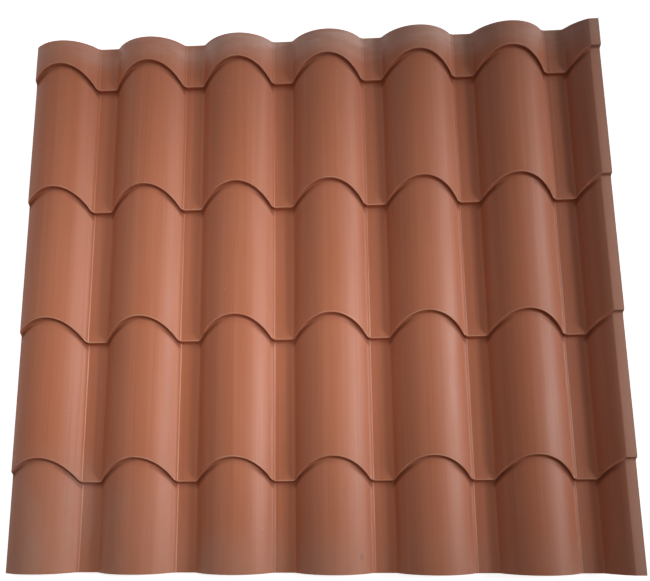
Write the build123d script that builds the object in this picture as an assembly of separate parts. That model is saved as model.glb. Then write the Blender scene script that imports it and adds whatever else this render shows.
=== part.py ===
"""A Spanish-pattern roof sheet: one moulded skin with the look of barrel tiles laid in courses.

Across its width the sheet repeats one wave, a round barrel beside a narrow flat pan. Along its
length each course rises gently down the slope and ends in a step, so that it looks like the nose of
one tile lying over the head of the next. The step line is scalloped: it is set back up the slope
on the barrels, in proportion to their height. The left edge is trimmed part of the way up the first
barrel, and the right edge is a lap rib with a flat top, which the next sheet's first barrel covers.

Frame: X across the sheet, Y up the roof's slope, Z up. The origin is at the centre of the underside.
"""

from build123d import *

import os
from math import atan2, degrees, sqrt

# Wave across the sheet, in millimetres, measured on the top face
wave_pitch = 160.0
full_barrels = 6
barrel_width = 124.0  # between the feet, at the level of the pan
barrel_height = 32.0
foot_radius = 7.0  # where a barrel's foot runs into the pan
sheet_thickness = 3.0

# Side edges
left_trim = 12.5  # the left edge is cut this far in from the first barrel's foot
rib_flank = 36.5  # width of the lap rib's curved flank
rib_flat = 16.5  # width of the lap rib's flat top
rib_radius = 5.0  # between the flank and the flat

# Courses along the sheet
course_length = 235.0
steps = 4
head_length = 88.0  # above the first step, in the pan
tail_length = 141.0  # below the last step, in the pan
step_height = 7.0
nose_setback = 39.0  # how far a barrel's crest sets the step line back
riser_draft = 3.5  # how far the top of a step leans back from its foot
riser_wall = 4.0  # thickness of a step's wall, measured along the sheet

# The ground below the wave is drawn this far past the sheet, then trimmed away
overrun = 20.0
ground_depth = 100.0

barrel_radius = ((barrel_width / 2) ** 2 + barrel_height**2) / (2 * barrel_height)
barrel_axis = barrel_height - barrel_radius
rib_left = full_barrels * wave_pitch
rib_middle = rib_left + barrel_width / 2
rib_height = barrel_axis + sqrt(barrel_radius**2 - (barrel_width / 2 - rib_flank) ** 2)
sheet_right = rib_left + rib_flank + rib_flat
ground_left = -2 * overrun
ground_right = max(sheet_right, rib_middle) + overrun

course_angle = degrees(atan2(step_height, course_length - riser_draft))
course_reach = nose_setback + overrun  # how far a course runs on under the one above
tail_end = -tail_length
head_end = (steps - 1) * course_length + head_length


def block(left, right, bottom, top):
    """A rectangle in the drawing plane, by its four sides."""
    return Pos((left + right) / 2, (bottom + top) / 2) * Rectangle(right - left, top - bottom)


def points_at(drawing, level, left, right):
    """The drawing's corners at one level, between two sides."""
    corners = drawing.vertices().filter_by_position(Axis.Y, level - 0.01, level + 0.01)
    return corners.filter_by_position(Axis.X, left, right)


def wave_section(depth):
    """The ground under the wave, cut across the slope; its top lies `depth` inside the top face."""
    pan = -depth
    flat = rib_height - depth
    above = block(ground_left, ground_right, pan, barrel_height)
    barrel = Circle(barrel_radius - depth)
    drawing = block(ground_left, ground_right, -ground_depth, pan)
    for i in range(full_barrels):
        drawing += (Pos(i * wave_pitch + barrel_width / 2, barrel_axis) * barrel) & above
    rib_room = block(rib_left - wave_pitch, ground_right, pan, flat)
    drawing += (Pos(rib_middle, barrel_axis) * barrel) & rib_room
    drawing += block(rib_middle, ground_right, pan, flat)
    feet = points_at(drawing, pan, ground_left + 1, ground_right - 1)
    drawing = fillet(feet, foot_radius + depth)
    shoulder = points_at(drawing, flat, rib_left, rib_middle)
    return fillet(shoulder, rib_radius - depth)


def course_ground(depth):
    """The ground under one course, on past both ends of it, with the foot of its step at Y = 0."""
    length = course_reach + course_length + overrun
    prism = extrude(Plane.XZ * wave_section(depth), length)
    return Pos(0, course_length, 0) * Rot(-course_angle, 0, 0) * Pos(0, course_reach, 0) * prism


def nose_cutter():
    """Everything down the slope of one step's face, for a step with its foot at Y = 0."""
    lower_course = Pos(0, -course_length, 0) * course_ground(0)
    scallop = Plane(origin=(0, 0, 0), x_dir=(1, 0, 0), z_dir=(0, barrel_height, -nose_setback))
    face = section(lower_course, section_by=scallop)
    reach = 2 * (barrel_height + step_height)
    lean = Vector(0, riser_draft / step_height, 1)
    low_face = face.translate(lean * -reach)
    return Solid.extrude(low_face.face(), lean * (3 * reach))


def stepped_ground(depth, wall):
    """The ground under the whole sheet: every course, each cut off at its own step."""
    course = course_ground(depth) - Pos(0, wall, 0) * nose_cutter()
    ground = Pos(0, -course_length, 0) * course
    for i in range(steps):
        ground += Pos(0, i * course_length, 0) * course
    return ground


def roof_sheet():
    """The skin between two grounds, trimmed to its four edges and set down on the floor."""
    outline = Pos(left_trim, tail_end, -sheet_thickness) * Box(
        sheet_right - left_trim,
        head_end - tail_end,
        sheet_thickness + barrel_height + 2 * step_height,
        align=(Align.MIN, Align.MIN, Align.MIN),
    )
    skin = (stepped_ground(0, 0) & outline) - stepped_ground(sheet_thickness, riser_wall)
    box = skin.bounding_box()
    return Pos(-box.center().X, -box.center().Y, -box.min.Z) * skin


def main():
    """Build the sheet and write it out."""
    os.makedirs("parts", exist_ok=True)
    sheet = roof_sheet()
    print("solids", len(sheet.solids()), "faces", len(sheet.faces()), "valid", sheet.is_valid)
    print(sheet.bounding_box(), "volume", sheet.volume)
    export_step(sheet, "parts/roof_sheet.step")


main()
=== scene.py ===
# %% [markdown]
# # A moulded roof sheet with the look of barrel tiles
#
# The real object is one thin skin of plastic, pressed while it is warm so that it looks like courses of
# round barrel tiles. This notebook loads the engineering model as a fixed frame, models the finished
# skin over it, gives it a terracotta surface, and lights and photographs it from above.

# %% Tools and the engineering frame
from math import acos, atan2, cos, radians, sin, sqrt

import bmesh
import bpy
from mathutils import Matrix, Vector


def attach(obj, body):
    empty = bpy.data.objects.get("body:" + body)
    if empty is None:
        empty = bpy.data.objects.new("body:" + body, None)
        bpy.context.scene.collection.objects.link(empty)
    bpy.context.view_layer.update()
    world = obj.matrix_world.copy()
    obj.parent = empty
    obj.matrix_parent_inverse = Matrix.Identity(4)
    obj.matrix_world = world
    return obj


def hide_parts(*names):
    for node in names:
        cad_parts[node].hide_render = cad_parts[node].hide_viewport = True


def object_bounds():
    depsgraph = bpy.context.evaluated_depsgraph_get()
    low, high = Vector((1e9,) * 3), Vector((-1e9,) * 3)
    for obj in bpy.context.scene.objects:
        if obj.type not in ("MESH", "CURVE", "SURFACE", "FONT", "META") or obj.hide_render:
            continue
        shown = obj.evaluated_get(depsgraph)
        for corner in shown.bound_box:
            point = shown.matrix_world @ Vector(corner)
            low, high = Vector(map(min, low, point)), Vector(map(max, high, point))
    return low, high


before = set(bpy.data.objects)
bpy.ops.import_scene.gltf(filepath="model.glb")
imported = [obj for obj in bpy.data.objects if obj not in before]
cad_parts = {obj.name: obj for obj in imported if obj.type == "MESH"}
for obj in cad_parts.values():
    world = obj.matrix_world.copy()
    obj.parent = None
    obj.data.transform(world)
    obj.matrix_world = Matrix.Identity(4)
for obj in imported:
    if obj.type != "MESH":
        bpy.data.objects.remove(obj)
cad_low, cad_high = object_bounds()
print("nodes in the frame:", sorted(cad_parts))
print("engineering sheet from", tuple(cad_low), "to", tuple(cad_high))

# %% [markdown]
# ## The wave's driving sizes
#
# Everything about the sheet follows from a few sizes: the pitch of the wave, the barrel's width and
# height, and the length and rise of a course. They are written here in metres, and the ends of the sheet
# come from the frame, so the skin can't drift away from the engineering model.

# %% Sizes of the wave and of the courses
PITCH = 0.160
BARRELS = 6
BARREL_WIDTH = 0.124
BARREL_HEIGHT = 0.032
FOOT_RADIUS = 0.007
SKIN = 0.003

RIB_FLANK = 0.0365
RIB_RADIUS = 0.005

COURSE = 0.235
STEPS = 4
HEAD = 0.088
STEP_HEIGHT = 0.007
SETBACK = 0.039
DRAFT = 0.0035
STEP_WALL = 0.004

NOSE_RADIUS = 0.0013
STEP_FOOT_RADIUS = 0.0040

barrel_radius = ((BARREL_WIDTH / 2) ** 2 + BARREL_HEIGHT**2) / (2 * BARREL_HEIGHT)
barrel_axis_z = BARREL_HEIGHT - barrel_radius
rib_height = barrel_axis_z + sqrt(barrel_radius**2 - (BARREL_WIDTH / 2 - RIB_FLANK) ** 2)
rise = STEP_HEIGHT / (COURSE - DRAFT)
slant = SETBACK / BARREL_HEIGHT
print("barrel radius", round(barrel_radius, 4), "rib height", round(rib_height, 4))
print("a course rises", round(rise * 1000, 1), "mm in a metre")

# %% [markdown]
# ## A pencil that draws with one vertex
#
# A section of formed sheet is straight runs joined by arcs. It could be typed in as a list of points, but
# a moving vertex says the same thing in a maker's words: go this far, turn this much round this radius.
# Going straight is an extruded vertex, and turning is a spun one.

# %% The pencil
EASE = 0.0008


class Pencil:
    """A vertex that draws a line in one upright plane, and knows which way it is heading."""

    def __init__(self, start, forward, heading=0.0):
        self.mesh = bmesh.new()
        self.tip = self.mesh.verts.new(start)
        self.forward = Vector(forward)
        self.axis = self.forward.cross(Vector((0, 0, 1)))
        self.heading = heading

    def go(self, length, ease=EASE):
        """Draw a straight run, with a short piece at each end that keeps a bend's shading off it."""
        step = self.forward * cos(self.heading) + Vector((0, 0, sin(self.heading)))
        for piece in (ease, length - 2 * ease, ease) if ease else (length,):
            new = bmesh.ops.extrude_vert_indiv(self.mesh, verts=[self.tip])
            self.tip = new["verts"][0]
            bmesh.ops.translate(self.mesh, verts=[self.tip], vec=step * piece)

    def turn(self, radius, angle, segments):
        """Draw an arc; a positive angle bends the line upwards."""
        side = Vector((0, 0, cos(self.heading))) - self.forward * sin(self.heading)
        centre = self.tip.co + side * (radius if angle > 0 else -radius)
        spun = bmesh.ops.spin(
            self.mesh, geom=[self.tip], cent=centre, axis=self.axis, angle=angle, steps=segments
        )
        self.tip = next(g for g in spun["geom_last"] if isinstance(g, bmesh.types.BMVert))
        self.heading += angle


# %% [markdown]
# ## The wave across the sheet
#
# One barrel is a wide arc between two small hollow arcs at its feet, and the pan between two barrels is
# flat. The underside is the same line drawn one thickness inside, so round bends get a smaller radius and
# hollow ones a larger radius. Their centres don't move, which keeps the wall even. The photograph shows a
# thin bright line along each barrel's right foot, so the top has a small ledge there, less than a
# millimetre high, whose face looks towards the light. The line starts left of the sheet and ends right of
# it, because the edges are sawn later.

# %% The wave line
FOOT_SEGMENTS = 7
BARREL_SEGMENTS = 44
SHOULDER_SEGMENTS = 5
LEDGE_HEIGHT = 0.0009
LEDGE_RADIUS = 0.0004
LEDGE_ANGLE = radians(45)
LEDGE_SEGMENTS = 2
SPARE = 0.015

foot_reach = barrel_radius + FOOT_RADIUS
foot_angle = acos((FOOT_RADIUS - barrel_axis_z) / foot_reach)
foot_offset = foot_reach * sin(foot_angle)
pan_flat = PITCH - 2 * foot_offset
ledge_foot_angle = acos((FOOT_RADIUS - barrel_axis_z + LEDGE_HEIGHT) / foot_reach)
ledge_face = (LEDGE_HEIGHT - 2 * LEDGE_RADIUS * (1 - cos(LEDGE_ANGLE))) / sin(LEDGE_ANGLE)
ledge_width = 2 * LEDGE_RADIUS * sin(LEDGE_ANGLE) + ledge_face * cos(LEDGE_ANGLE)
ledge_pan_flat = pan_flat + foot_offset - foot_reach * sin(ledge_foot_angle) - ledge_width
shoulder_reach = barrel_radius - RIB_RADIUS
shoulder_angle = acos((rib_height - RIB_RADIUS - barrel_axis_z) / shoulder_reach)


def ledge(pencil):
    """Drop from the barrel's right foot onto the pan in one small crisp ledge."""
    pencil.turn(LEDGE_RADIUS, -LEDGE_ANGLE, LEDGE_SEGMENTS)
    pencil.go(ledge_face, ease=0)
    pencil.turn(LEDGE_RADIUS, LEDGE_ANGLE, LEDGE_SEGMENTS)


def wave_line(depth):
    """The sheet's section across the slope, drawn `depth` inside its top face, from left to right."""
    first_foot = BARREL_WIDTH / 2 - foot_offset
    pencil = Pencil((first_foot - SPARE, 0, -depth), (1, 0, 0))
    pencil.go(SPARE)
    for _ in range(BARRELS):
        pencil.turn(FOOT_RADIUS + depth, foot_angle, FOOT_SEGMENTS)
        if depth == 0:
            pencil.turn(barrel_radius, -foot_angle - ledge_foot_angle, BARREL_SEGMENTS)
            pencil.turn(FOOT_RADIUS, ledge_foot_angle, FOOT_SEGMENTS)
            ledge(pencil)
            pencil.go(ledge_pan_flat)
        else:
            pencil.turn(barrel_radius - depth, -2 * foot_angle, BARREL_SEGMENTS)
            pencil.turn(FOOT_RADIUS + depth, foot_angle, FOOT_SEGMENTS)
            pencil.go(pan_flat)
    pencil.turn(FOOT_RADIUS + depth, foot_angle, FOOT_SEGMENTS)
    pencil.turn(barrel_radius - depth, shoulder_angle - foot_angle, BARREL_SEGMENTS // 4)
    pencil.turn(RIB_RADIUS - depth, -shoulder_angle, SHOULDER_SEGMENTS)
    pencil.go(BARREL_WIDTH / 2)
    return pencil


line = wave_line(0)
print("wave line:", len(line.mesh.verts), "points, ends heading", round(line.heading, 6))
print("barrel crest at", round(max(v.co.z for v in line.mesh.verts) * 1000, 2), "mm")
line.mesh.free()

# %% [markdown]
# ## The steps along the sheet
#
# Seen from the side, each course rises a little towards its nose, drops down the step's face and starts
# again. The nose is rounded and the foot of the step is hollowed, as a pressed plastic can't take a sharp
# corner. The same pencil draws this line, heading down the slope.

# %% The step line
NOSE_SEGMENTS = 5
STEP_FOOT_SEGMENTS = 8
UNDER_NOSE_RADIUS = 0.0004
UNDER_FOOT_RADIUS = 0.0030

course_angle = atan2(STEP_HEIGHT, COURSE - DRAFT)
face_angle = atan2(STEP_HEIGHT, DRAFT)
step_turn = course_angle + face_angle
course_run = sqrt((COURSE - DRAFT) ** 2 + STEP_HEIGHT**2)
face_run = sqrt(DRAFT**2 + STEP_HEIGHT**2)


def step_line(shift, nose_radius, foot_radius):
    """The courses seen from the side, from above the head of the sheet to below its tail."""
    nose_tangent = nose_radius * sin(step_turn / 2) / cos(step_turn / 2)
    foot_tangent = foot_radius * sin(step_turn / 2) / cos(step_turn / 2)
    pencil = Pencil((0, COURSE + shift, 0), (0, -1, 0), course_angle)
    for step in range(STEPS):
        pencil.go(course_run - nose_tangent - (foot_tangent if step else 0))
        pencil.turn(nose_radius, -step_turn, NOSE_SEGMENTS)
        pencil.go(face_run - nose_tangent - foot_tangent)
        pencil.turn(foot_radius, step_turn, STEP_FOOT_SEGMENTS)
    pencil.go(course_run - foot_tangent)
    return pencil


line = step_line(0, NOSE_RADIUS, STEP_FOOT_RADIUS)
print("step line:", len(line.mesh.verts), "points, ends at", tuple(round(c, 4) for c in line.tip.co))
line.mesh.free()

# %% [markdown]
# ## Carrying the wave along the steps
#
# A potter pulls a shaped board along rails, and this is the same: the wave is the board and the step line
# is the rail. The board isn't square to its travel. It is leant by a shear, so a barrel's crest trails
# further up the slope the higher it stands, and that is what scallops every step. The mesh grows by
# extruding the wave's edges and moving the new row to the next point of the rail. Each point keeps its
# place along the rail as an attribute, so the finish can find the noses however they are scalloped.

# %% Sweeping one face of the sheet
def lean_back(wave, depth):
    """Shear the wave along its course, so that a point trails up the slope by its height over the pan."""
    shear = Matrix.Identity(4)
    for row, share in ((1, slant), (2, -slant * rise)):
        shear[row][2] += share
        shear[row][3] = share * depth
    bmesh.ops.transform(wave, matrix=shear, verts=wave.verts)


def sweep(wave, rail, top):
    """Carry the wave along the rail; each point keeps its travel and whether it is on top."""
    travel = wave.verts.layers.float.new("travel")
    upper_side = wave.verts.layers.float.new("upper_side")
    points = [v.co.copy() for v in rail.mesh.verts]
    rail.mesh.free()
    bmesh.ops.translate(wave, verts=wave.verts, vec=points[0])
    for vert in wave.verts:
        vert[travel] = points[0].y
        vert[upper_side] = top
    edges = list(wave.edges)
    for here, there in zip(points, points[1:]):
        grown = bmesh.ops.extrude_edge_only(wave, edges=edges)["geom"]
        row = {g for g in grown if isinstance(g, bmesh.types.BMVert)}
        edges = [g for g in grown if isinstance(g, bmesh.types.BMEdge) and row.issuperset(g.verts)]
        bmesh.ops.translate(wave, verts=list(row), vec=there - here)
        for vert in row:
            vert[travel] = there.y


def swept_face(depth, shift, nose_radius, foot_radius):
    """One face of the sheet: the top, or the underside drawn inside it and moved up the slope."""
    wave = wave_line(depth).mesh
    lean_back(wave, depth)
    sweep(wave, step_line(shift, nose_radius, foot_radius), top=depth == 0)
    return wave


under_shift = STEP_WALL - SKIN * DRAFT / STEP_HEIGHT
top_face = swept_face(0, 0, NOSE_RADIUS, STEP_FOOT_RADIUS)
under_face = swept_face(SKIN, under_shift, UNDER_NOSE_RADIUS, UNDER_FOOT_RADIUS)
print("top face:", len(top_face.faces), "faces; underside:", len(under_face.faces))

# %% [markdown]
# ## Closing the skin and sawing it to size
#
# The top and the underside are joined round their rims into one closed skin, still oversize, and put in
# its place in the frame. Then four saw cuts trim it, as the factory's saws do: the left cut part of the
# way up the first barrel, the right cut through the rib's flat top, and the head and tail cuts square
# across. Each cut leaves a clean flat edge, which one new face closes.

# %% Closing the skin
LEFT_TRIM = 0.0125


def join_faces(top, under):
    """Put the underside into the top's mesh, and bridge their two rims."""
    spare_mesh = bpy.data.meshes.new("underside")
    under.to_mesh(spare_mesh)
    under.free()
    top.from_mesh(spare_mesh)
    bpy.data.meshes.remove(spare_mesh)
    rims = [e for e in top.edges if e.is_boundary]
    bmesh.ops.bridge_loops(top, edges=rims)
    bmesh.ops.recalc_face_normals(top, faces=top.faces)
    return top


def saw(skin, point, away):
    """Cut the skin with a plane, drop what lies beyond it, and close the cut edge."""
    everything = list(skin.verts) + list(skin.edges) + list(skin.faces)
    cut = bmesh.ops.bisect_plane(
        skin, geom=everything, plane_co=point, plane_no=away, clear_outer=True
    )
    rim = [g for g in cut["geom_cut"] if isinstance(g, bmesh.types.BMEdge)]
    closed = bmesh.ops.contextual_create(skin, geom=rim)
    return closed["faces"]


skin = join_faces(top_face, under_face)
place = Vector((cad_low.x - LEFT_TRIM, cad_high.y - HEAD, cad_low.z + SKIN))
bmesh.ops.translate(skin, verts=skin.verts, vec=place)
cuts = []
cuts += saw(skin, cad_low, Vector((-1, 0, 0)))
cuts += saw(skin, cad_high, Vector((1, 0, 0)))
cuts += saw(skin, cad_low, Vector((0, -1, 0)))
cuts += saw(skin, cad_high, Vector((0, 1, 0)))
bmesh.ops.recalc_face_normals(skin, faces=skin.faces)
open_edges = [e for e in skin.edges if not e.is_manifold]
print("saw cuts closed:", len(cuts), "open edges left:", len(open_edges))

# %% [markdown]
# ## The finished piece
#
# The mesh becomes one object that stands for the engineering sheet. Its bends are shaded smooth, and its
# sawn edges stay crisp: an edge between two faces that meet at more than the crisp angle is kept sharp.

# %% The roof skin
CRISP = radians(35)


def finish_piece(mesh, name):
    """Turn a bmesh into an object of its own, smooth where it bends and crisp where it was cut."""
    for face in mesh.faces:
        face.smooth = True
    for edge in mesh.edges:
        if edge.is_manifold:
            edge.smooth = edge.calc_face_angle(0) < CRISP
    data = bpy.data.meshes.new(name)
    mesh.to_mesh(data)
    mesh.free()
    piece = bpy.data.objects.new(name, data)
    bpy.context.scene.collection.objects.link(piece)
    return piece


roof_skin = finish_piece(skin, "roof_skin")
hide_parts("roof_sheet")
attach(roof_skin, "root")
triangles = sum(len(p.vertices) - 2 for p in roof_skin.data.polygons)
print("roof skin:", triangles, "triangles")

# %% [markdown]
# ## A finish built from a few verbs
#
# A finish is a small tree of nodes. Written node by node it is hard to follow, so this cell gives the
# nodes a maker's verbs: a cloud of noise, a smooth ramp, a band that rises and falls, a blend of two
# colours. Every pattern reads the Object coordinates, which are metres on the sheet, or a number that
# the mesh keeps, so it stays where it is whatever the view.

# %% The finish's verbs
MIX_SOCKETS = ("Factor_Float", "A_Color", "B_Color")
CLOUD_MIDDLE = (0.35, 0.65)


class Finish:
    """The nodes of one material, put together step by step."""

    def __init__(self, name):
        self.material = bpy.data.materials.new(name)
        self.material.use_nodes = True
        self.nodes = self.material.node_tree.nodes
        self.links = self.material.node_tree.links
        self.shader = self.nodes["Principled BSDF"]
        self.place = self.nodes.new("ShaderNodeTexCoord").outputs["Object"]
        split = self.nodes.new("ShaderNodeSeparateXYZ")
        self.links.new(self.place, split.inputs["Vector"])
        self.x, self.y = split.outputs["X"], split.outputs["Y"]

    def kept(self, name):
        """A number the mesh keeps at each of its points."""
        node = self.nodes.new("ShaderNodeAttribute")
        node.attribute_name = name
        return node.outputs["Fac"]

    def feed(self, socket, value):
        """Give a socket a number or a colour, or another node's output."""
        if isinstance(value, bpy.types.NodeSocket):
            self.links.new(value, socket)
        else:
            socket.default_value = value

    def maths(self, operation, *values):
        """One sum on sockets and numbers."""
        node = self.nodes.new("ShaderNodeMath")
        node.operation = operation
        for socket, value in zip(node.inputs, values):
            self.feed(socket, value)
        return node.outputs["Value"]

    def times(self, first, *others):
        """Several shares multiplied together."""
        product = first
        for other in others:
            product = self.maths("MULTIPLY", product, other)
        return product

    def ramp(self, value, start, end, low=0.0, high=1.0):
        """A smooth change from low to high while the value runs from start to end."""
        node = self.nodes.new("ShaderNodeMapRange")
        node.interpolation_type = "SMOOTHSTEP"
        for socket, number in zip(node.inputs, (value, start, end, low, high)):
            self.feed(socket, number)
        return node.outputs["Result"]

    def band(self, value, rise, fall, high=1.0):
        """A smooth rise over one stretch of the value, and a smooth fall over a later one."""
        return self.times(self.ramp(value, *rise, high=high), self.ramp(value, *reversed(fall)))

    def past_nearest(self, value, spacing):
        """How far a value lies past the nearest multiple of a spacing, negative before it."""
        share = self.maths("FRACT", self.maths("ADD", self.maths("DIVIDE", value, spacing), 0.5))
        return self.times(self.maths("SUBTRACT", share, 0.5), spacing)

    def beside_line(self, first_x, spacing):
        """How far to either side a point lies from the nearest of some lines down the slope."""
        return self.maths("PINGPONG", self.maths("SUBTRACT", self.x, first_x), spacing / 2)

    def cloud(self, blobs, detail=2.0):
        """Soft noise; blobs says how many of its lumps fit in a metre along x, y and z."""
        stretch = self.nodes.new("ShaderNodeMapping")
        stretch.inputs["Scale"].default_value = blobs
        self.links.new(self.place, stretch.inputs["Vector"])
        noise = self.nodes.new("ShaderNodeTexNoise")
        noise.inputs["Scale"].default_value = 1
        noise.inputs["Detail"].default_value = detail
        self.links.new(stretch.outputs["Vector"], noise.inputs["Vector"])
        return noise.outputs["Fac"]

    def patches(self, blobs, detail=2.0, low=0.0, high=1.0):
        """Patches between a low and a high share, from the middle of a cloud's range."""
        return self.ramp(self.cloud(blobs, detail), *CLOUD_MIDDLE, low=low, high=high)

    def spot(self, centre, reach, core=0.0):
        """One at a point of the sheet, falling to zero at its reach along x and y."""
        across = self.maths("DIVIDE", self.maths("SUBTRACT", self.x, centre[0]), reach[0])
        along = self.maths("DIVIDE", self.maths("SUBTRACT", self.y, centre[1]), reach[1])
        square = self.maths("ADD", self.times(across, across), self.times(along, along))
        return self.ramp(self.maths("SQRT", square), 1, core)

    def blend(self, share, under, over):
        """Lay one colour over another by a share."""
        node = self.nodes.new("ShaderNodeMix")
        node.data_type = "RGBA"
        factor, a, b = (next(i for i in node.inputs if i.identifier == n) for n in MIX_SOCKETS)
        self.feed(factor, share)
        self.feed(a, under)
        self.feed(b, over)
        return next(o for o in node.outputs if o.identifier == "Result_Color")

    def grain(self, height, distance, strength):
        """Raise the surface a little by a height between zero and one."""
        bump = self.nodes.new("ShaderNodeBump")
        bump.inputs["Distance"].default_value = distance
        bump.inputs["Strength"].default_value = strength
        self.links.new(height, bump.inputs["Height"])
        self.links.new(bump.outputs["Normal"], self.shader.inputs["Normal"])


# %% [markdown]
# ## Terracotta plastic
#
# The sheet is plastic coloured right through, with a thin weatherproof face and a soft sheen. Its colour
# is a dull orange brown that drifts a little from place to place, and is redder towards the right and the
# head. The rollers that carried it left faint streaks down the slope, in two widths. They are plain
# noise, stretched along y.

# %% The terracotta tones
TERRACOTTA_DEEP = (0.415, 0.128, 0.057, 1)
TERRACOTTA_PALE = (0.445, 0.143, 0.068, 1)
TERRACOTTA_RED = (0.435, 0.116, 0.043, 1)
ROLLER_PINK = (0.520, 0.185, 0.100, 1)
ROLLER_BROWN = (0.300, 0.086, 0.035, 1)
RED_AT_RIGHT = 0.6
RED_AT_HEAD = 0.4
WIDE_STREAKS = (75, 1.1, 0)
FINE_STREAKS = (290, 2.3, 0)
STREAK_SHARE = 0.34


def streaked_tone(finish):
    """The drifting body colour with the rollers' streaks down it."""
    drift = finish.patches((6, 3, 6), detail=3)
    tone = finish.blend(drift, TERRACOTTA_DEEP, TERRACOTTA_PALE)
    to_right = finish.ramp(finish.x, -0.05, 0.4, high=RED_AT_RIGHT)
    to_head = finish.ramp(finish.y, 0.05, 0.3, high=RED_AT_HEAD)
    tone = finish.blend(finish.maths("MAXIMUM", to_right, to_head), tone, TERRACOTTA_RED)
    wide = finish.ramp(finish.cloud(WIDE_STREAKS), 0.45, 0.70, high=STREAK_SHARE)
    tone = finish.blend(wide, tone, ROLLER_PINK)
    fine = finish.ramp(finish.cloud(FINE_STREAKS), 0.50, 0.75, high=STREAK_SHARE)
    return finish.blend(fine, tone, ROLLER_BROWN)


# %% [markdown]
# ## Finding the noses, the ledges and the crests
#
# The pale lines and the painted shade follow the steps and creases, so a finish has to know where it is
# on them. A nose comes once in a course along the rail, so the travel that each point keeps says how far
# past the nearest nose it lies, however the step line is scalloped. Crests and ledges repeat with the
# pitch.

# %% Distances along and across the sheet
crest_x = cad_low.x - LEFT_TRIM + BARREL_WIDTH / 2
ledge_x = crest_x + foot_reach * sin(ledge_foot_angle) + ledge_width / 2
print("first crest at", round(crest_x, 4), "and its ledge at", round(ledge_x, 4))


def past_nose(finish):
    """How far down the slope a point lies from the nearest nose, in metres, negative above it."""
    return finish.past_nearest(finish.maths("SUBTRACT", DRAFT, finish.kept("travel")), COURSE)


# %% [markdown]
# ## Pale noses and painted glints on the ledges
#
# Every nose has a thin paler line. The ledge at each barrel's right foot has one too, a painted highlight
# that stands in for its glint, most towards the tail. Both come and go in patches. A share is all that is
# needed, because the edges themselves are already in the mesh.

# %% The pale noses and the ledges' painted glint
PALE_LINE_AND_GLINT = (0.640, 0.330, 0.215, 1)
NOSE_LINE_WIDTH = 0.0022
LEDGE_GLINT_WIDTH = 0.0014


def pale_noses_and_ledge_glints(finish, reach):
    """The share of the pale line along the noses and of the painted glint along the ledges."""
    nose = finish.band(reach, (-NOSE_LINE_WIDTH, -NOSE_LINE_WIDTH / 2), (0, NOSE_LINE_WIDTH / 6))
    nose = finish.times(nose, finish.patches((30, 30, 30), low=0.3, high=0.75))
    # The ledge's pale line is a painted highlight, standing in for its glint.
    ledge_line = finish.ramp(finish.beside_line(ledge_x, PITCH), LEDGE_GLINT_WIDTH, LEDGE_GLINT_WIDTH / 3)
    to_tail = finish.ramp(finish.y, 0.3, -0.2, low=0.2)
    ledge_glints = finish.times(ledge_line, to_tail, finish.patches((9, 7, 9), low=0.25, high=0.7))
    return finish.maths("MAXIMUM", nose, ledge_glints)


# %% [markdown]
# ## Painted shade on and below the steps
#
# The step's face is painted a stronger red, standing in for red light bounced into its shade. A painted
# soft shadow lies under each nose, and a darker painted shade fills the step's foot on the barrels' steep
# sides, most on their right. Each is a band of distances past the nose, given in metres as where it rises
# and where it falls. The darkest shade is also a band of distances from the crest.

# %% The steps' faces and their painted shade
FACE_BOUNCE_RED = (0.460, 0.098, 0.030, 1)
UNDER_NOSE_SHADOW = (0.270, 0.055, 0.018, 1)
FOOT_SHADE_DARK = (0.150, 0.028, 0.009, 1)
FACE_BAND = (0.0002, 0.0011), (0.0018, 0.0042)
UNDER_NOSE_BAND = (0, DRAFT), (DRAFT, 0.0160)
FOOT_SHADE_BAND = (0.0010, 0.0060), (0.0085, 0.0155)
BARREL_SIDE = (0.0160, 0.0480), (0.0592, 0.0672)
FACE_BOUNCE_SHARE = 0.50
RIGHT_SIDE_SHADE = 0.70
LEFT_SIDE_SHADE = 0.56


def painted_foot_shade(finish, reach):
    """The share of painted shade in the foot of each step: most on a barrel's right side, less on its
    left.
    """
    rightwards = finish.past_nearest(finish.maths("SUBTRACT", finish.x, crest_x), PITCH)
    right = finish.band(rightwards, *BARREL_SIDE, high=RIGHT_SIDE_SHADE)
    left = finish.band(finish.times(rightwards, -1), *BARREL_SIDE, high=LEFT_SIDE_SHADE)
    return finish.times(finish.maths("MAXIMUM", right, left), finish.band(reach, *FOOT_SHADE_BAND))


def pale_lines_and_painted_shade(finish, tone, reach, on_top):
    """Pale lines on the noses, painted glints on the ledges, painted shade below the steps, and a painted
    red bounce in their faces.
    """
    # Pale lines along the noses, and a painted highlight along the ledges.
    tone = finish.blend(finish.times(pale_noses_and_ledge_glints(finish, reach), on_top), tone, PALE_LINE_AND_GLINT)
    # Painted shadow: a soft darker band on the course under each nose, in patches.
    shadow_patches = finish.patches((18, 40, 18), detail=3, low=0.12, high=0.32)
    tone = finish.blend(finish.times(finish.band(reach, *UNDER_NOSE_BAND), shadow_patches, on_top), tone, UNDER_NOSE_SHADOW)
    # Painted shade: a dark band in the foot of each step on the barrels' steep sides.
    tone = finish.blend(finish.times(painted_foot_shade(finish, reach), on_top), tone, FOOT_SHADE_DARK)
    # Painted bounce light: the step's shaded face is painted a stronger red.
    red_face = finish.times(finish.band(reach, *FACE_BAND), FACE_BOUNCE_SHARE, on_top)
    return finish.blend(red_face, tone, FACE_BOUNCE_RED)


# %% [markdown]
# ## Dust
#
# A grey haze lies over the sheet's lower left corner and along its tail, with a trace everywhere else.
# Less dust lies at each barrel's left foot, which keeps that crease darker and redder: painted shade. The
# head is paler, most right of the middle. Dust is a tone laid over the plastic by a share, which also
# takes some sheen away.

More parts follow.
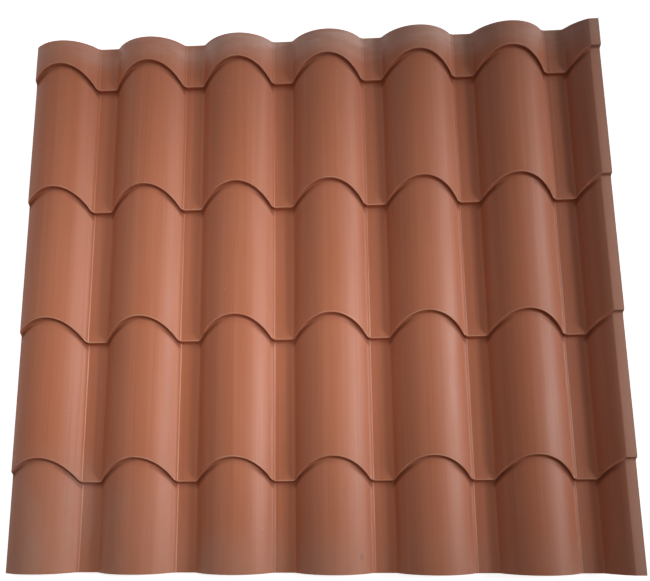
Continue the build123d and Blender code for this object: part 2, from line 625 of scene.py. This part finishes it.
# %% The dust
DUST = (0.520, 0.325, 0.260, 1)
PALE_HEAD_TONE = (0.700, 0.500, 0.430, 1)
DUSTY_CORNER = (cad_low.x + 0.05, cad_low.y + 0.04)
CORNER_REACH = (0.30, 0.20)
TAIL_REACH = 0.10
DUST_TRACE = 0.08
SHADED_CREASE_STRIP = (0.004, 0.018)
DUSTY_HEAD_X = 0.05
HEAD_PALENESS = 0.62


def settled_dust(finish):
    """How thick the haze lies at each point: the corner, the tail and a trace, in patches."""
    corner = finish.spot(DUSTY_CORNER, CORNER_REACH, core=0.35)
    to_left = finish.ramp(finish.x, 0.2, -0.3, low=0.45, high=0.9)
    tail = finish.times(finish.ramp(finish.y, cad_low.y + TAIL_REACH, cad_low.y), to_left)
    thickness = finish.maths("MAXIMUM", finish.maths("MAXIMUM", corner, tail), DUST_TRACE)
    # Painted shade: less dust at each barrel's left foot keeps that crease darker and redder.
    dust_off_shaded_crease = finish.ramp(finish.beside_line(cad_low.x - LEFT_TRIM, PITCH), *SHADED_CREASE_STRIP, low=0.35)
    patches = finish.patches((16, 8, 16), detail=4, low=0.42, high=1.12)
    return finish.times(thickness, dust_off_shaded_crease, patches)


def paler_head(finish):
    """The share of the paler tone along the head."""
    from_middle = finish.maths("ABSOLUTE", finish.maths("SUBTRACT", finish.x, DUSTY_HEAD_X))
    across = finish.ramp(from_middle, 0.45, 0.05, low=0.45)
    along = finish.ramp(finish.y, cad_high.y - 0.060, cad_high.y - 0.010, high=HEAD_PALENESS)
    return finish.times(along, across, finish.patches((12, 40, 12), detail=4, low=0.5))


# %% [markdown]
# ## The rib top and small marks
#
# The rib's flat top at the right edge is painted paler and greyer, partly dust and partly a painted sheen
# of the sky on this open, upward face. One small dark scuff lies near the tail, and there are a few pale
# specks. The specks come from a Voronoi texture, whose cells each hold one point; most of them lie off
# the thin skin, so only a few make a speck.

# %% The rib top's dust and painted sheen, the scuff and the specks
RIB_DUST_AND_SHEEN = (0.640, 0.320, 0.225, 1)
RIB_TOP_WIDTH = 0.030
SCUFF = (0.200, 0.090, 0.055, 1)
SCUFF_PLACE = (0.0726, -0.441)
SCUFF_REACH = (0.005, 0.008)
SCUFF_SHARE = 0.6
SPECK = (0.700, 0.620, 0.560, 1)
SPECK_CELLS = 20
SPECK_SIZE = (0.022, 0.010)
SPECK_SHARE = 0.5


def dust_and_sheen_on_rib(finish):
    """The share of the rib top's dust and painted sheen, full at the right edge and none past its
    shoulder.
    """
    to_edge = finish.ramp(finish.x, cad_high.x - RIB_TOP_WIDTH, cad_high.x)
    return finish.times(to_edge, finish.patches((10, 6, 10), low=0.80))


def marked_tone(finish, tone):
    """Lay the scuff and the specks over a tone."""
    scuff = finish.times(finish.spot(SCUFF_PLACE, SCUFF_REACH), SCUFF_SHARE)
    tone = finish.blend(scuff, tone, SCUFF)
    cells = finish.nodes.new("ShaderNodeTexVoronoi")
    cells.inputs["Scale"].default_value = SPECK_CELLS
    finish.links.new(finish.place, cells.inputs["Vector"])
    specks = finish.ramp(cells.outputs["Distance"], *SPECK_SIZE, high=SPECK_SHARE)
    return finish.blend(specks, tone, SPECK)


# %% [markdown]
# ## The sheet's surface
#
# The tones are laid over one another: the plastic, the pale lines and the painted shade of the steps,
# the rib top's dust and painted sheen, the dust, the paler head and the small marks. Dust, the steps'
# faces and their painted shade make the surface duller, and a fine bump gives the plastic its grain.

# %% The finished surface
SPECULAR = 0.6
DUST_SHARE = 0.40
DUST_DULLS = 0.18
FACE_AND_SHADE_DULLS = 0.45
GRAIN_LUMPS = (620, 260, 620)
GRAIN_HEIGHT = 0.00025
GRAIN_STRENGTH = 0.25


def dullness(finish, dust, reach):
    """The roughness: a soft sheen, duller under dust, on the steps' faces and in the painted shade of
    their feet.
    """
    sheen = finish.ramp(finish.cloud((22, 6, 22), detail=3), 0.3, 0.7, low=0.49, high=0.55)
    face_and_foot_shade = finish.maths("MAXIMUM", finish.band(reach, *FACE_BAND), painted_foot_shade(finish, reach))
    dusty = finish.maths("ADD", sheen, finish.times(dust, DUST_DULLS))
    return finish.maths("ADD", dusty, finish.times(face_and_foot_shade, FACE_AND_SHADE_DULLS))


def terracotta_material():
    """The sheet's own surface."""
    finish = Finish("terracotta_skin")
    reach = past_nose(finish)
    on_top = finish.kept("upper_side")
    dust = settled_dust(finish)
    tone = pale_lines_and_painted_shade(finish, streaked_tone(finish), reach, on_top)
    # The rib's top is painted paler: some dust and a painted sheen of the sky.
    tone = finish.blend(finish.times(dust_and_sheen_on_rib(finish), on_top), tone, RIB_DUST_AND_SHEEN)
    tone = finish.blend(finish.times(dust, DUST_SHARE), tone, DUST)
    tone = finish.blend(paler_head(finish), tone, PALE_HEAD_TONE)
    finish.links.new(marked_tone(finish, tone), finish.shader.inputs["Base Color"])
    finish.links.new(dullness(finish, dust, reach), finish.shader.inputs["Roughness"])
    finish.shader.inputs["Specular IOR Level"].default_value = SPECULAR
    finish.grain(finish.cloud(GRAIN_LUMPS), GRAIN_HEIGHT, GRAIN_STRENGTH)
    return finish.material


terracotta = terracotta_material()
roof_skin.data.materials.clear()
roof_skin.data.materials.append(terracotta)
print("terracotta surface:", len(terracotta.node_tree.nodes), "nodes")

# %% [markdown]
# ## The studio lamps
#
# The photograph's barrels are bright on their right shoulders and dark at their left feet, and the sheet
# is brightest in its middle. So a wide, low lamp far to the right gives the sheen, and a narrow one beside
# it strengthens it in the middle. A lamp beyond the head lifts the rest and leaves a soft shadow under
# each nose, and two weak ones overhead even it out. These three make no highlight of their own, and their
# narrow spread lets the light fall off towards the edges, as it does in the photograph.

# %% The studio lamps
def lamp(name, place, aim, size, spread, watts, mirrored=True):
    """A soft rectangular lamp aimed at a spot on the sheet; unless mirrored, it makes no highlight."""
    data = bpy.data.lights.new(name, "AREA")
    data.shape = "RECTANGLE"
    data.size, data.size_y = size
    data.spread = radians(spread)
    data.energy = watts
    rig = bpy.data.objects.new(name, data)
    rig.location = place
    rig.rotation_euler = (Vector(aim) - Vector(place)).to_track_quat("-Z", "Y").to_euler()
    rig.visible_camera = False
    rig.visible_glossy = mirrored
    bpy.context.scene.collection.objects.link(rig)


lamp("key", (4.4, 0.75, 2.3), (-0.6, -0.03, 0), (2.2, 2.6), 30, 5.9)
lamp("key_middle", (3.3, 0.4, 1.85), (-0.1, -0.08, 0), (0.9, 0.6), 14, 0.85)
lamp("head_side", (-0.7, 2.2, 1.9), (-0.28, -0.17, 0), (1.0, 1.0), 26, 1.2, mirrored=False)
lamp("overhead", (-0.4, -0.03, 1.6), (-0.4, -0.03, 0), (0.8, 0.8), 80, 0.52, mirrored=False)
lamp("overhead_middle", (0.4, -0.1, 1.3), (-0.08, -0.06, 0), (0.4, 0.4), 36, 0.2, mirrored=False)
print("lamps:", len(bpy.data.lights))

# %% [markdown]
# ## A white surround
#
# The photograph's background is plain white. A floor lit as the sheet is would look grey, so the floor
# glows a little, but only for the camera and for reflections, and so it lights nothing. Its own shading
# still shows through the glow, which keeps the sheet's shadow. The glow ends under the sheet, so that the
# hollows of the barrels stay dark, and it grows far away, where the lamps don't reach.

# %% The floor and the world
WHITE = (1, 1, 1, 1)
FLOOR_WHITE = (0.85, 0.85, 0.85, 1)
FLOOR_ROUGHNESS = 0.95
FLOOR_RADIUS = 30
FLOOR_SEGMENTS = 48
FLOOR_GLOW = 0.88
GLOW_EDGE = (-0.040, -0.005)
FAR_GLOW = (0.6, 2.5)
WORLD_FILL = 0.01


def seen_directly(nodes, links):
    """A socket that is one for rays from the camera, a reflection or clear glass, and otherwise zero."""
    path = nodes.new("ShaderNodeLightPath")
    total = path.outputs["Is Camera Ray"]
    for name in ("Is Glossy Ray", "Is Transmission Ray"):
        add = nodes.new("ShaderNodeMath")
        add.operation = "MAXIMUM"
        links.new(total, add.inputs[0])
        links.new(path.outputs[name], add.inputs[1])
        total = add.outputs["Value"]
    return total


def floor_glow(finish):
    """How strongly the floor glows at each point: not under the sheet, and fully far away."""
    beside = finish.maths("SUBTRACT", finish.maths("ABSOLUTE", finish.x), cad_high.x)
    beyond = finish.maths("SUBTRACT", finish.maths("ABSOLUTE", finish.y), cad_high.y)
    outside = finish.maths("MAXIMUM", beside, beyond)
    near = finish.ramp(outside, *GLOW_EDGE, high=FLOOR_GLOW)
    far = finish.ramp(outside, *FAR_GLOW, high=1 - FLOOR_GLOW)
    seen = seen_directly(finish.nodes, finish.links)
    return finish.times(finish.maths("ADD", near, far), seen)


def white_floor():
    """A wide floor that the camera sees as white, with the sheet's shadow on it."""
    mesh = bmesh.new()
    bmesh.ops.create_circle(mesh, cap_ends=True, radius=FLOOR_RADIUS, segments=FLOOR_SEGMENTS)
    data = bpy.data.meshes.new("floor")
    mesh.to_mesh(data)
    mesh.free()
    finish = Finish("white_floor")
    finish.shader.inputs["Base Color"].default_value = FLOOR_WHITE
    finish.shader.inputs["Roughness"].default_value = FLOOR_ROUGHNESS
    finish.shader.inputs["Emission Color"].default_value = WHITE
    finish.links.new(floor_glow(finish), finish.shader.inputs["Emission Strength"])
    data.materials.append(finish.material)
    floor = bpy.data.objects.new("floor", data)
    bpy.context.scene.collection.objects.link(floor)


def white_world():
    """A world that looks white and lights the sheet only faintly."""
    world = bpy.data.worlds.new("studio")
    world.use_nodes = True
    nodes, links = world.node_tree.nodes, world.node_tree.links
    sky = nodes["Background"]
    sky.inputs["Color"].default_value = WHITE
    strength = nodes.new("ShaderNodeMapRange")
    links.new(seen_directly(nodes, links), strength.inputs["Value"])
    strength.inputs["To Min"].default_value = WORLD_FILL
    links.new(strength.outputs["Result"], sky.inputs["Strength"])
    return world


white_floor()
bpy.context.scene.world = white_world()
print("floor", 2 * FLOOR_RADIUS, "m across, world lights by", WORLD_FILL)

# %% [markdown]
# ## The camera
#
# The photograph was taken from over the sheet's lower half. The camera's place, aim and lens come from a
# fit of the sheet's crests, pans, steps and edges to the photograph, and a shift puts the sheet where it
# stands in the frame. The camera's turn is built from its own three axes, which keeps its horizon level
# before a very small roll.

# %% The camera
CAMERA_PLACE = Vector((0.030, -0.336, 1.145))
CAMERA_AIM = Vector((-0.0394, -0.1409, 0))
CAMERA_ROLL = radians(-0.285)
LENS = 38.31
SENSOR = 36
SHIFT = (0.053, 0.125)

camera_data = bpy.data.cameras.new("camera")
camera_data.lens = LENS
camera_data.sensor_width = SENSOR
camera_data.shift_x, camera_data.shift_y = SHIFT
camera = bpy.data.objects.new("camera", camera_data)
back = (CAMERA_PLACE - CAMERA_AIM).normalized()
right = Vector((0, 1, 0)).cross(back).normalized()
turn = Matrix((right, back.cross(right), back)).transposed().to_4x4()
camera.matrix_world = Matrix.Translation(CAMERA_PLACE) @ turn @ Matrix.Rotation(CAMERA_ROLL, 4, "Z")
bpy.context.scene.collection.objects.link(camera)
bpy.context.scene.camera = camera
bpy.context.scene.view_settings.view_transform = "Standard"
print("camera", round((CAMERA_PLACE - CAMERA_AIM).length, 3), "m from its aim")
